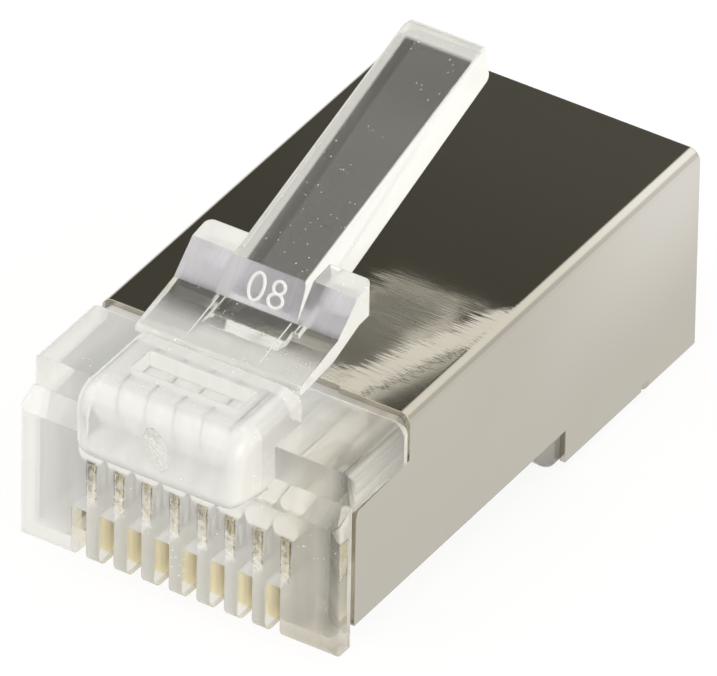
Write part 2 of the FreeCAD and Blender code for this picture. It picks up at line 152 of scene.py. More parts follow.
class MouldingMarkSettings(bpy.types.PropertyGroup):
    """Marks that the mould leaves on the plastic."""

    gate_width: FloatProperty(
        name="Gate width", description="Width of the trimmed gate", unit="LENGTH", min=0, default=0.86 * MM)
    gate_height: FloatProperty(
        name="Gate height", description="Height of the trimmed gate", unit="LENGTH", min=0, default=1.56 * MM)
    number: StringProperty(
        name="Cavity number", description="Plain digits 0 and 8 that count the mould's cavities", default="08")
    number_height: FloatProperty(
        name="Number height", description="Height of the cavity number", unit="LENGTH", min=0, default=1.00 * MM)
    stroke: FloatProperty(
        name="Stroke", description="Width of the raised strokes", unit="LENGTH", min=0, default=0.115 * MM)


class StageSettings(bpy.types.PropertyGroup):
    """Floor, light and camera."""

    floor_colour: FloatVectorProperty(
        name="Floor colour", description="Colour of the plain floor", subtype="COLOR", size=3, min=0, max=1,
        default=linear("#f4f3f0"))
    surround: FloatProperty(name="Surround", description="Brightness of the white surround", min=0, default=0.84)
    key: FloatProperty(name="Key lamp", description="Power of the key lamp", unit="POWER", min=0, default=0.60)
    rear: FloatProperty(
        name="Rear softbox", description="Power of the long softbox behind", unit="POWER", min=0, default=0.15)
    side: FloatProperty(
        name="Side softbox", description="Power of the softbox at the right", unit="POWER", min=0, default=0.74)
    distance: FloatProperty(
        name="Camera distance", description="Camera to plug", unit="LENGTH", min=0, default=589.75 * MM)


SETTINGS = {
    "plug_clear_plastic": ClearPlasticSettings,
    "plug_nickel_sheet": NickelSheetSettings,
    "plug_gold_contact": GoldContactSettings,
    "plug_moulding_marks": MouldingMarkSettings,
    "plug_stage": StageSettings,
}


# ---------------------------------------------------------------- materials


def clear_polycarbonate(name, haze, inside=None, frosting=0.0, sides=(), near_side=1.0, far_side=0.4, windows=(),
                        tip=None, step=(), flow=0.0, clear_from=None, dusty=0.0, flank=()):
    """Injection-moulded clear polycarbonate: high gloss and a strong bend of light.

    Polished mould faces keep it glassy, with fine scratches and pin-prick specks of trapped dust.

    Shares from 0 to 1: haze is the light that outer faces scatter back as a soft white, and inside the
    light that inner faces scatter, where that differs. frosting is how far a spark-eroded mould face has
    dulled it, flow how much the haze varies along the melt's streaks, dusty how many specks it has, and
    near_side and far_side how white the unpolished right and left sides are.

    Places in millimetres: sides is the box whose faces across X are unpolished. windows is the row of
    small panes before the blades' pockets, as (the first one's left edge, pitch, width, low, high, front of
    the pockets, their rear and top). tip is where along Y the lever turns white, step the two places along
    Y between which it is spark-eroded, and clear_from where along Y its haze is gone. flank is the arm's
    half width, how much it widens for each millimetre, where along Y it starts, and its pale band's width.
    """
    made, tree = new_material(name)
    s = bpy.context.scene.plug_clear_plastic
    place = add(tree, "ShaderNodeTexCoord").outputs["Object"]
    # hairline scratches along the plug: 0.1 mm apart across X, drawn out to 1.7 mm along Y
    stretched = add(tree, "ShaderNodeMapping", {"Scale": (9000, 600, 9000)}, {"Vector": place})
    scratches = add(tree, "ShaderNodeTexNoise", {"Scale": 1.0, "Detail": 2.0}, {"Vector": stretched.outputs[0]})
    scratch = add(tree, "ShaderNodeMapRange", {"From Min": 0.66, "From Max": 0.80, "To Max": 0.5},
                  {"Value": scratches.outputs["Fac"]})
    # specks 0.03 to 0.07 mm wide with ragged outlines, in loose clusters 1.5 mm apart; real dust is finer
    ragged = add(tree, "ShaderNodeTexNoise", {"Scale": 15000.0, "Detail": 1.0}, {"Vector": place})
    torn = add(tree, "ShaderNodeVectorMath", {1: (0.00006, 0.00006, 0.00006)}, {0: ragged.outputs["Color"], 2: place},
               operation="MULTIPLY_ADD")
    coarse = add(tree, "ShaderNodeTexVoronoi", {"Scale": 2200.0}, {"Vector": torn.outputs[0]})
    coarse_speck = add(tree, "ShaderNodeMapRange", {"From Min": 0.075, "From Max": 0.05},
                       {"Value": coarse.outputs["Distance"]})
    fine = add(tree, "ShaderNodeTexVoronoi", {"Scale": 5200.0}, {"Vector": torn.outputs[0]})
    fine_speck = add(tree, "ShaderNodeMapRange", {"From Min": 0.14, "From Max": 0.09},
                     {"Value": fine.outputs["Distance"]})
    few = add(tree, "ShaderNodeTexNoise", {"Scale": 640.0, "Detail": 1.0}, {"Vector": place})
    coarse_here = add(tree, "ShaderNodeMapRange", {"From Min": 0.56 - dusty, "From Max": 0.62 - dusty},
                      {"Value": few.outputs["Fac"]})
    fine_here = add(tree, "ShaderNodeMapRange", {"From Min": 0.62 - dusty, "From Max": 0.66 - dusty},
                    {"Value": few.outputs["Fac"]})
    coarse_dust = add(tree, "ShaderNodeMath", operation="MULTIPLY",
                      links={0: coarse_speck.outputs[0], 1: coarse_here.outputs[0]})
    fine_dust = add(tree, "ShaderNodeMath", operation="MULTIPLY",
                    links={0: fine_speck.outputs[0], 1: fine_here.outputs[0]})
    dust = add(tree, "ShaderNodeMath", operation="MAXIMUM",
               links={0: coarse_dust.outputs[0], 1: fine_dust.outputs[0]})
    # slow ripple of the moulded faces, 1.2 mm long and a few microns deep
    ripple = add(tree, "ShaderNodeTexNoise", {"Scale": 850.0, "Detail": 1.0}, {"Vector": place})
    marks = add(tree, "ShaderNodeMath", operation="ADD", links={0: scratch.outputs[0], 1: dust.outputs[0]})
    round_edge = add(tree, "ShaderNodeBevel", {"Radius": s.edge_radius}, samples=4)
    rippled = add(tree, "ShaderNodeBump", {"Strength": 0.22, "Distance": 0.02 * MM},
                  {"Height": ripple.outputs["Fac"], "Normal": round_edge.outputs[0]})
    scored = add(tree, "ShaderNodeBump", {"Strength": 0.25, "Distance": 0.01 * MM},
                 {"Height": marks.outputs[0], "Normal": rippled.outputs[0]})
    rough = add(tree, "ShaderNodeMapRange", {"To Min": s.polish + 0.45 * frosting, "To Max": 0.45},
                {"Value": marks.outputs[0]})
    mm = add(tree, "ShaderNodeMapping", {"Scale": (1000, 1000, 1000)}, {"Vector": place})
    split = add(tree, "ShaderNodeSeparateXYZ", links={0: mm.outputs[0]})
    faces = add(tree, "ShaderNodeNewGeometry")
    turned = add(tree, "ShaderNodeSeparateXYZ", links={0: faces.outputs["Normal"]})
    # streaks of the melt, 0.6 mm apart and 4 mm long
    streaked = add(tree, "ShaderNodeMapping", {"Scale": (1700, 260, 260)}, {"Vector": place})
    streaks = add(tree, "ShaderNodeTexNoise", {"Scale": 1.0, "Detail": 2.0}, {"Vector": streaked.outputs[0]})
    base_haze = add(tree, "ShaderNodeMapRange",
                    {"From Min": 0.3, "From Max": 0.7, "To Min": haze - flow, "To Max": haze + flow},
                    {"Value": streaks.outputs["Fac"]})
    if flow:
        # the cheeks, the left one most, and the latch boss are thick and throw back more light
        for axis, start, end, more in (("X", -2.6, -4.8, 0.27), ("X", 3.2, 4.6, 0.05),
                                       ("Y", -10.08, -10.4, 0.18)):
            thick = add(tree, "ShaderNodeMapRange", {"From Min": start, "From Max": end, "To Max": more},
                        {"Value": split.outputs[axis]})
            base_haze = add(tree, "ShaderNodeMath", links={0: base_haze.outputs[0], 1: thick.outputs[0]},
                            operation="ADD")
    if inside is not None:
        # the moulding's inner faces, met from within the resin, are unpolished and catch the light
        base_haze = add(tree, "ShaderNodeMix", {3: inside},
                        {"Factor": faces.outputs["Backfacing"], 2: base_haze.outputs[0]})
        # the right wall and the underside are better polished
        for axis, start, end, kept in (("X", 5.1, 5.6, 0.40), ("Z", 1.0, 0.4, 0.60)):
            polished = add(tree, "ShaderNodeMapRange",
                           {"From Min": start, "From Max": end, "To Min": 1.0, "To Max": kept},
                           {"Value": split.outputs[axis]})
            base_haze = add(tree, "ShaderNodeMath", links={0: base_haze.outputs[0], 1: polished.outputs[0]},
                            operation="MULTIPLY")
    if clear_from is not None:
        gone = add(tree, "ShaderNodeMapRange", {"From Min": clear_from + 0.3, "From Max": clear_from - 0.3},
                   {"Value": split.outputs["Y"]})
        base_haze = add(tree, "ShaderNodeMath", links={0: base_haze.outputs[0], 1: gone.outputs[0]},
                        operation="MULTIPLY")
    scatter = add(tree, "ShaderNodeMath", {1: 0.6}, {0: dust.outputs[0], 2: base_haze.outputs[0]},
                  operation="MULTIPLY_ADD")

    def within(box, start=None):
        """1 inside a box in millimetres and 0 outside, softened over 0.1 mm, times the node start if given."""
        share = start
        for sign, corner in ((1, box[0]), (-1, box[1])):
            for axis, limit in zip("XYZ", corner):
                past = add(tree, "ShaderNodeMapRange",
                           {"From Min": limit - sign * 0.05, "From Max": limit + sign * 0.05},
                           {"Value": split.outputs[axis]})
                share = past if share is None else add(
                    tree, "ShaderNodeMath", links={0: share.outputs[0], 1: past.outputs[0]}, operation="MULTIPLY")
        return share

    if windows:
        left, pitch, width, low, high, pocket_front, pocket_rear, pocket_top = windows
        right = left + 7 * pitch + width
        ahead = add(tree, "ShaderNodeMapRange", {"From Min": -0.9, "From Max": -0.97},
                    {"Value": turned.outputs["Y"]})
        front = within(((left - 0.1, pocket_front - 3, low), (right + 0.1, pocket_front - 1, high)), ahead)
        shifted = add(tree, "ShaderNodeMath", {1: left - pitch / 2 + width / 2}, {0: split.outputs["X"]},
                      operation="SUBTRACT")
        each = add(tree, "ShaderNodeMath", {1: pitch, 2: 0.0}, {0: shifted.outputs[0]}, operation="WRAP")
        off_middle = add(tree, "ShaderNodeMath", {1: pitch / 2}, {0: each.outputs[0]}, operation="SUBTRACT")
        distance = add(tree, "ShaderNodeMath", links={0: off_middle.outputs[0]}, operation="ABSOLUTE")
        pane = add(tree, "ShaderNodeMapRange", {"From Min": width / 2 + 0.03, "From Max": width / 2 - 0.03},
                   {"Value": distance.outputs[0]})
        panes = add(tree, "ShaderNodeMath", links={0: front.outputs[0], 1: pane.outputs[0]}, operation="MULTIPLY")
        pockets = within(((-4, pocket_front - 0.15, low - 0.4), (4, pocket_rear, pocket_top)))
        glassy = add(tree, "ShaderNodeMath", links={0: panes.outputs[0], 1: pockets.outputs[0]}, operation="MAXIMUM")
        # each pane is clear at its top and crinkled white at its foot, in wrinkles 0.2 mm long
        wrinkles = add(tree, "ShaderNodeTexNoise", {"Scale": 5200.0, "Detail": 1.0}, {"Vector": place})
        wrinkled = add(tree, "ShaderNodeMath", {1: 2.4}, {0: wrinkles.outputs["Fac"], 2: split.outputs["Z"]},
                       operation="MULTIPLY_ADD")
        pane_haze = add(tree, "ShaderNodeMapRange",
                        {"From Min": low + 1.15, "From Max": high + 0.45, "To Min": 0.62, "To Max": 0.02},
                        {"Value": wrinkled.outputs[0]})
        scatter = add(tree, "ShaderNodeMix", links={"Factor": glassy.outputs[0], 2: scatter.outputs[0],
                                                    3: pane_haze.outputs[0]})
        # the walls of the open slots below are polished, and the blades show through them
        sideways = add(tree, "ShaderNodeMapRange", {"From Min": -0.9, "From Max": -0.5, "To Max": 0.5},
                       {"Value": turned.outputs["Y"]})
        slot_walls = within(((left - pitch, pocket_front - 9, -1), (left + 7.6 * pitch, pocket_rear, low)), sideways)
        unpolished = add(tree, "ShaderNodeMath", {0: 1.0}, {1: slot_walls.outputs[0]}, operation="SUBTRACT")
        scatter = add(tree, "ShaderNodeMath", links={0: scatter.outputs[0], 1: unpolished.outputs[0]},
                      operation="MULTIPLY")
    if step:
        raised = add(tree, "ShaderNodeMapRange", {"From Min": -0.45, "From Max": -0.60},
                     {"Value": turned.outputs["Y"]})
        eroded = within(((-9, step[0], -9), (9, step[1], 99)), raised)
        # tool lines run up the eroded faces, 0.08 mm apart, and the plate clouds towards its root
        upright = add(tree, "ShaderNodeMapping", {"Scale": (12000, 900, 900)}, {"Vector": place})
        tooled = add(tree, "ShaderNodeTexNoise", {"Scale": 1.0, "Detail": 3.0}, {"Vector": upright.outputs[0]})
        lined = add(tree, "ShaderNodeMapRange", {"From Min": 0.40, "From Max": 0.62, "To Min": 0.0, "To Max": 0.26},
                    {"Value": tooled.outputs["Fac"]})
        cloud = add(tree, "ShaderNodeMapRange",
                    {"From Min": step[0] - 0.45, "From Max": step[0] - 1.35, "To Max": 0.36},
                    {"Value": split.outputs["Y"]})
        clouded = add(tree, "ShaderNodeMath", links={0: scatter.outputs[0], 1: cloud.outputs[0]},
                      operation="MAXIMUM")
        scatter = add(tree, "ShaderNodeMapRange",
                      links={"Value": eroded.outputs[0], "To Min": clouded.outputs[0], "To Max": lined.outputs[0]})
        rough = add(tree, "ShaderNodeMapRange", {"To Max": 0.42},
                    {"Value": eroded.outputs[0], "To Min": rough.outputs[0]})
    if sides:
        # the unpolished faces across X, each side with its own share of the whiteness
        right_side = add(tree, "ShaderNodeMapRange", {"From Min": 0.35, "From Max": 0.75, "To Max": near_side},
                         {"Value": turned.outputs["X"]})
        left_side = add(tree, "ShaderNodeMapRange", {"From Min": -0.35, "From Max": -0.75, "To Max": far_side},
                        {"Value": turned.outputs["X"]})
        either = add(tree, "ShaderNodeMath", links={0: right_side.outputs[0], 1: left_side.outputs[0]},
                     operation="MAXIMUM")
        side = within(sides, either)
        scatter = add(tree, "ShaderNodeMapRange", {"To Max": s.side_haze},
                      {"Value": side.outputs[0], "To Min": scatter.outputs[0]})
    if flank:
        # the frosted left flank shows through the top as a pale band along its edge
        edge, widening, start, band = flank
        run = add(tree, "ShaderNodeMath", {1: -start}, {0: split.outputs["Y"]}, operation="ADD")
        behind = add(tree, "ShaderNodeMath", {1: 0.0}, {0: run.outputs[0]}, operation="MAXIMUM")
        from_edge = add(tree, "ShaderNodeMath", {1: widening}, {0: behind.outputs[0], 2: split.outputs["X"]},
                        operation="MULTIPLY_ADD")
        near_edge = add(tree, "ShaderNodeMapRange",
                        {"From Min": band - edge + 0.04, "From Max": band - edge - 0.06, "To Max": 0.62},
                        {"Value": from_edge.outputs[0]})
        upward = add(tree, "ShaderNodeMapRange", {"From Min": 0.8, "From Max": 0.9}, {"Value": turned.outputs["Z"]})
        on_arm = add(tree, "ShaderNodeMapRange", {"From Min": start - 0.02, "From Max": start + 0.05},
                     {"Value": split.outputs["Y"]})
        banded = add(tree, "ShaderNodeMath", links={0: near_edge.outputs[0], 1: upward.outputs[0]},
                     operation="MULTIPLY")
        banded = add(tree, "ShaderNodeMath", links={0: banded.outputs[0], 1: on_arm.outputs[0]},
                     operation="MULTIPLY")
        # the shoulders' tops beside the arm are frosted too
        off_centre = add(tree, "ShaderNodeMath", links={0: split.outputs["X"]}, operation="ABSOLUTE")
        beside = add(tree, "ShaderNodeMapRange", {"From Min": edge + 0.05, "From Max": edge + 0.11, "To Max": 0.5},
                     {"Value": off_centre.outputs[0]})
        shoulder = add(tree, "ShaderNodeMapRange", {"From Min": start - 0.30, "From Max": start - 0.10},
                       {"Value": split.outputs["Y"]})
        topped = add(tree, "ShaderNodeMath", links={0: beside.outputs[0], 1: shoulder.outputs[0]},
                     operation="MULTIPLY")
        topped = add(tree, "ShaderNodeMath", links={0: topped.outputs[0], 1: upward.outputs[0]},
                     operation="MULTIPLY")
        paler = add(tree, "ShaderNodeMath", links={0: banded.outputs[0], 1: topped.outputs[0]}, operation="MAXIMUM")
        scatter = add(tree, "ShaderNodeMath", links={0: scatter.outputs[0], 1: paler.outputs[0]},
                      operation="MAXIMUM")
    if tip:
        end = add(tree, "ShaderNodeMapRange", {"From Min": tip - 0.08, "From Max": tip + 0.08},
                  {"Value": split.outputs["Y"]})
        scatter = add(tree, "ShaderNodeMapRange", {"To Max": 0.74},
                      {"Value": end.outputs[0], "To Min": scatter.outputs[0]})
    clear = add(tree, "ShaderNodeMath", {0: 1.0}, {1: scatter.outputs[0]}, operation="SUBTRACT", use_clamp=True)
    # painted shade: the resin is painted warmer and darker towards the right, standing in for the shade there and the
    # shield's lining showing through
    right_shade = add(tree, "ShaderNodeMapRange", {"From Min": 2.6, "From Max": 4.4, "To Max": 1.0 if flow else 0.0},
               {"Value": split.outputs["X"]})
    resin = add(tree, "ShaderNodeMix", {6: (*s.colour, 1), 7: (*linear("#ddd8cb"), 1)},
                {"Factor": right_shade.outputs[0]}, data_type="RGBA")
    if inside is not None:
        # painted light: inner faces are painted a touch paler than outer ones, standing in for light scattered inside
        # the resin
        resin = add(tree, "ShaderNodeMix", {7: (*linear("#efeeed"), 1)},
                    {"Factor": faces.outputs["Backfacing"], 6: resin.outputs[2]}, data_type="RGBA")
        # painted shade: it is painted greyest low on the right
        foot = add(tree, "ShaderNodeMapRange", {"From Min": 3.0, "From Max": 1.0, "To Max": 0.8},
                   {"Value": split.outputs["Z"]})
        painted_shade_low_right = add(tree, "ShaderNodeMath", links={0: right_shade.outputs[0], 1: foot.outputs[0]},
                        operation="MULTIPLY")
        resin = add(tree, "ShaderNodeMix", {7: (*linear("#bab5a8"), 1)},
                    {"Factor": painted_shade_low_right.outputs[0], 6: resin.outputs[2]}, data_type="RGBA")
    if step:
        # painted reflection: the spark-eroded faces are painted a faintly violet grey, standing in for a bluish
        # reflection
        resin = add(tree, "ShaderNodeMix", {7: (*linear("#b8b6c2"), 1)},
                    {"Factor": eroded.outputs[0], 6: resin.outputs[2]}, data_type="RGBA")
    body = add(tree, "ShaderNodeBsdfPrincipled", {"IOR": POLYCARBONATE_IOR},
               {"Base Color": resin.outputs[2], "Roughness": rough.outputs[0], "Normal": scored.outputs[0],
                "Transmission Weight": clear.outputs[0]})
    # the lamps and the white room shine through the walls onto the faces inside, as in the real moulding
    through = add(tree, "ShaderNodeBsdfTransparent", {"Color": (*linear("#fffffe"), 1)})
    path = add(tree, "ShaderNodeLightPath")
    lamp_lit = add(tree, "ShaderNodeMixShader",
                   links={0: path.outputs["Is Shadow Ray"], 1: body.outputs[0], 2: through.outputs[0]})
    room_lit = add(tree, "ShaderNodeMixShader",
                   links={0: path.outputs["Is Diffuse Ray"], 1: lamp_lit.outputs[0], 2: through.outputs[0]})
    add(tree, "ShaderNodeOutputMaterial", links={"Surface": room_lit.outputs[0]})
    return made


def nickel_plated_sheet(name):
    """Bright nickel over rolled phosphor bronze: a warm grey mirror with faint rolling lines across the plug.

    The top leans a few degrees in a shallow dent beside the latch, so it mirrors the lamps there.
    """
    made, tree = new_material(name)
    s = bpy.context.scene.plug_nickel_sheet
    place = add(tree, "ShaderNodeTexCoord").outputs["Object"]
    # rolling lines run along X and are 0.04 mm apart; the real ones are several times finer
    rolled = add(tree, "ShaderNodeMapping", {"Scale": (900, 26000, 9000)}, {"Vector": place})
    lines = add(tree, "ShaderNodeTexNoise", {"Scale": 1.0, "Detail": 3.0}, {"Vector": rolled.outputs[0]})
    jitter = add(tree, "ShaderNodeMath", {1: 0.5}, {0: lines.outputs["Fac"]}, operation="SUBTRACT")
    mm = add(tree, "ShaderNodeMapping", {"Scale": (1000, 1000, 1000)}, {"Vector": place})
    split = add(tree, "ShaderNodeSeparateXYZ", links={0: mm.outputs[0]})
    # the dent's crest is a band that drifts 0.36 mm to the right for each millimetre to the rear
    across = add(tree, "ShaderNodeVectorMath", {1: (1.0, -0.36, 0.0)}, {0: mm.outputs[0]}, operation="DOT_PRODUCT")
    frayed = add(tree, "ShaderNodeMath", {1: 2.0}, {0: jitter.outputs[0], 2: across.outputs["Value"]},
                 operation="MULTIPLY_ADD")
    left = add(tree, "ShaderNodeMapRange", {"From Min": 4.38, "From Max": 4.80}, {"Value": frayed.outputs[0]},
               interpolation_type="SMOOTHSTEP")
    right = add(tree, "ShaderNodeMapRange", {"From Min": 5.88, "From Max": 5.55}, {"Value": frayed.outputs[0]},
                interpolation_type="SMOOTHSTEP")
    crest = add(tree, "ShaderNodeMath", links={0: left.outputs[0], 1: right.outputs[0]}, operation="MULTIPLY")
    rear = add(tree, "ShaderNodeMath", {1: 3.0}, {0: jitter.outputs[0], 2: split.outputs["Y"]},
               operation="MULTIPLY_ADD")
    # behind its frayed rear end the sheet is flat, and between the latch and the crest it leans less
    ends = add(tree, "ShaderNodeMapRange", {"From Min": 1.15, "From Max": 0.65}, {"Value": rear.outputs[0]},
               interpolation_type="SMOOTHSTEP")
    hollow = add(tree, "ShaderNodeMapRange", {"From Min": -0.6, "From Max": 0.8, "To Min": 0.38, "To Max": 0.48},
                 {"Value": rear.outputs[0]}, interpolation_type="SMOOTHSTEP")
    fade = add(tree, "ShaderNodeMapRange", {"From Min": -4.8, "From Max": -1.8}, {"Value": split.outputs["Y"]})
    left_fray = add(tree, "ShaderNodeMath", {1: 3.0}, {0: jitter.outputs[0], 2: split.outputs["X"]},
                    operation="MULTIPLY_ADD")
    begins = add(tree, "ShaderNodeMapRange", {"From Min": 0.7, "From Max": 1.3}, {"Value": left_fray.outputs[0]})
    hollow_faded = add(tree, "ShaderNodeMath", links={0: hollow.outputs[0], 1: fade.outputs[0]},
                       operation="MULTIPLY")
    mixed = add(tree, "ShaderNodeMix", links={"Factor": left.outputs[0], 2: hollow_faded.outputs[0],
                                              3: crest.outputs[0]})
    kept = add(tree, "ShaderNodeMath", links={0: mixed.outputs[0], 1: begins.outputs[0]}, operation="MULTIPLY")
    # the sheet also leans along its front edge, under the lever
    lip = add(tree, "ShaderNodeMapRange", {"From Min": -4.2, "From Max": -4.7, "To Max": 0.8},
              {"Value": rear.outputs[0]}, interpolation_type="SMOOTHSTEP")
    lip_right = add(tree, "ShaderNodeMapRange", {"From Min": 3.2, "From Max": 2.6}, {"Value": split.outputs["X"]})
    lip_left = add(tree, "ShaderNodeMapRange", {"From Min": -2.7, "From Max": -2.2}, {"Value": split.outputs["X"]})
    lip_ends = add(tree, "ShaderNodeMath", links={0: lip_left.outputs[0], 1: lip_right.outputs[0]},
                   operation="MULTIPLY")
    lip_kept = add(tree, "ShaderNodeMath", links={0: lip.outputs[0], 1: lip_ends.outputs[0]}, operation="MULTIPLY")
    most = add(tree, "ShaderNodeMath", links={0: kept.outputs[0], 1: lip_kept.outputs[0]}, operation="MAXIMUM")
    leaning = add(tree, "ShaderNodeMath", links={0: most.outputs[0], 1: ends.outputs[0]}, operation="MULTIPLY")
    on_top = add(tree, "ShaderNodeMapRange",
                 {"From Min": SHIELD_TOP / MM - 0.06, "From Max": SHIELD_TOP / MM - 0.03},
                 {"Value": split.outputs["Z"]})
    lean = add(tree, "ShaderNodeMath", links={0: leaning.outputs[0], 1: on_top.outputs[0]}, operation="MULTIPLY")
    uneven = add(tree, "ShaderNodeMath", {1: 1.8 * s.lean, 2: s.lean}, {0: jitter.outputs[0]},
                 operation="MULTIPLY_ADD")
    slope = add(tree, "ShaderNodeMath", links={0: lean.outputs[0], 1: uneven.outputs[0]}, operation="MULTIPLY")
    sideways = add(tree, "ShaderNodeCombineXYZ", links={"X": slope.outputs[0]})
    round_edge = add(tree, "ShaderNodeBevel", {"Radius": 0.05 * MM}, samples=4)
    leant = add(tree, "ShaderNodeVectorMath", links={0: round_edge.outputs[0], 1: sideways.outputs[0]},
                operation="ADD")
    unit = add(tree, "ShaderNodeVectorMath", links={0: leant.outputs[0]}, operation="NORMALIZE")
    brushed = add(tree, "ShaderNodeBump", {"Strength": 0.12, "Distance": 0.004 * MM},
                  {"Height": lines.outputs["Fac"], "Normal": unit.outputs[0]})
    rough = add(tree, "ShaderNodeMapRange", {"To Min": s.roughness - 0.05, "To Max": s.roughness + 0.06},
                {"Value": lines.outputs["Fac"]})
    patches = add(tree, "ShaderNodeTexNoise", {"Scale": 180.0, "Detail": 3.0}, {"Vector": place})
    tint = add(tree, "ShaderNodeMix", {6: (*s.colour, 1), 7: (*(0.93 * c for c in s.colour), 1)},
               {"Factor": patches.outputs["Fac"]}, data_type="RGBA")
    # painted highlight: the plating is painted a little brighter towards the rear and the top, standing in for the
    # brighter reflections there
    sheen_rearward = add(tree, "ShaderNodeMapRange", {"From Min": 0.0, "From Max": 11.0}, {"Value": split.outputs["Y"]},
                  interpolation_type="SMOOTHSTEP")
    sheen_upward = add(tree, "ShaderNodeMapRange", {"From Min": 1.5, "From Max": 7.5}, {"Value": split.outputs["Z"]},
                  interpolation_type="SMOOTHSTEP")
    painted_sheen = add(tree, "ShaderNodeMath", links={0: sheen_rearward.outputs[0], 1: sheen_upward.outputs[0]}, operation="MULTIPLY")
    plating = add(tree, "ShaderNodeMix", {7: (*linear("#d3cfc7"), 1)},
                  {"Factor": painted_sheen.outputs[0], 6: tint.outputs[2]}, data_type="RGBA")
    metal = add(tree, "ShaderNodeBsdfPrincipled", {"Metallic": 1.0},
                {"Base Color": plating.outputs[2], "Roughness": rough.outputs[0], "Normal": brushed.outputs[0]})
    add(tree, "ShaderNodeOutputMaterial", links={"Surface": metal.outputs[0]})
    return made


def gold_flash(name):
    """Thin electroplated gold over nickel on stamped bronze: pale yellow, softly shining, with stamping lines."""
    made, tree = new_material(name)
    s = bpy.context.scene.plug_gold_contact
    place = add(tree, "ShaderNodeTexCoord").outputs["Object"]
    # burnished shear lines 0.06 mm apart, upright on the blade
    sheared = add(tree, "ShaderNodeMapping", {"Scale": (16000, 16000, 1200)}, {"Vector": place})
    lines = add(tree, "ShaderNodeTexNoise", {"Scale": 1.0, "Detail": 2.0}, {"Vector": sheared.outputs[0]})
    round_edge = add(tree, "ShaderNodeBevel", {"Radius": 0.03 * MM}, samples=4)
    cut = add(tree, "ShaderNodeBump", {"Strength": 0.15, "Distance": 0.005 * MM},
              {"Height": lines.outputs["Fac"], "Normal": round_edge.outputs[0]})
    rough = add(tree, "ShaderNodeMapRange", {"To Min": 0.32, "To Max": 0.55}, {"Value": lines.outputs["Fac"]})
    thin = add(tree, "ShaderNodeMix", {6: (*s.colour, 1), 7: (*linear("#ecd688"), 1)},
               {"Factor": lines.outputs["Fac"]}, data_type="RGBA")
    metal = add(tree, "ShaderNodeBsdfPrincipled", {"Metallic": 0.8},
                {"Base Color": thin.outputs[2], "Roughness": rough.outputs[0], "Normal": cut.outputs[0]})
    add(tree, "ShaderNodeOutputMaterial", links={"Surface": metal.outputs[0]})
    return made


def dress(node, material):
    """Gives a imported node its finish."""
    obj = frame["nodes"][node]
    obj.data.materials.clear()
    obj.data.materials.append(material)


# ---------------------------------------------------------------- surfaces


def make_piece(name, points, faces, material, body, slot):
    """Puts computed points and faces in a mesh at the origin, which rides on a body of the frame."""
    mesh = bpy.data.meshes.new(name)
    mesh.from_pydata(np.asarray(points, float).tolist(), [], [tuple(f) for f in faces])
    mesh.shade_smooth()
    mesh.validate()
    obj = bpy.data.objects.new(name, mesh)
    bpy.context.scene.collection.objects.link(obj)
    mesh.materials.append(material)
    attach(obj, body)
    return obj


def grid_faces(rows, columns, wrap_rows):
    """Quads between neighbours of a rows by columns grid whose columns close on themselves."""
    r = np.arange(rows if wrap_rows else rows - 1)[:, None]
    c = np.arange(columns)[None, :]
    r2, c2 = (r + 1) % rows, (c + 1) % columns
    return np.stack([r * columns + c, r2 * columns + c, r2 * columns + c2, r * columns + c2], -1).reshape(-1, 4)


def bead(path, up, width, height, closed):
    """A flattened bead along a path that lies in the plane across up.

    Each point of the path carries the ellipse side * cos(a) * width / 2 + up * sin(a) * height / 2, where
    side is the path's direction crossed with up. On an open path the ellipse shrinks at both ends by
    the square root of 1 - t * t, where t runs from 0 to 1 over the last half width, down to one end point.
    """
    path = np.asarray(path, float)
    if closed:
        along = np.roll(path, -1, 0) - np.roll(path, 1, 0)
    else:
        along = np.gradient(path, axis=0)
    along /= np.linalg.norm(along, axis=1)[:, None]
    side = np.cross(along, up)
    a = np.arange(BEAD_SIDES) * 2 * np.pi / BEAD_SIDES
    scale = np.ones(len(path))
    if not closed:
        run = np.concatenate([[0], np.cumsum(np.linalg.norm(np.diff(path, axis=0), axis=1))])
        t = 1 - np.minimum(1, np.minimum(run, run[-1] - run) / (width / 2))
        scale = np.sqrt(1 - t * t)
        path, side, scale = path[1:-1], side[1:-1], scale[1:-1]
    ring = (side[:, None] * np.cos(a)[None, :, None] * width / 2
            + np.asarray(up)[None, None] * np.sin(a)[None, :, None] * height / 2)
    points = (path[:, None] + ring * scale[:, None, None]).reshape(-1, 3)
    faces = [tuple(f) for f in grid_faces(len(path), BEAD_SIDES, closed)]
    if not closed:
        first, last = len(points), len(points) + 1
        step = (path[1] - path[0]) * 0.5
        points = np.vstack([points, path[0] - step, path[-1] + step])
        end = (len(path) - 1) * BEAD_SIDES
        faces += [(first, i, (i + 1) % BEAD_SIDES) for i in range(BEAD_SIDES)]
        faces += [(last, end + (i + 1) % BEAD_SIDES, end + i) for i in range(BEAD_SIDES)]
    return points, faces


def joined(parts):
    """Points and faces of several surfaces as one."""
    points, faces, start = [], [], 0
    for p, f in parts:
        points.append(p)
        faces += [tuple(int(i) + start for i in face) for face in f]
        start += len(p)
    return np.vstack(points), faces


def outward(obj):
    """Turns every face of a closed surface outwards."""
    bm = bmesh.new()
    bm.from_mesh(obj.data)
    bmesh.ops.recalc_face_normals(bm, faces=bm.faces)
    bm.to_mesh(obj.data)
    bm.free()


def digit_rings(digit, height):
    """Closed rings of a digit as (centre, half width, half height): an ellipse for 0, and two that touch for 8."""
    if digit == "0":
        return [((0.0, 0.0), 0.29 * height, 0.5 * height)]
    return [((0.0, 0.23 * height), 0.23 * height, 0.23 * height), ((0.0, -0.25 * height), 0.29 * height, 0.25 * height)]


# ---------------------------------------------------------------- operators


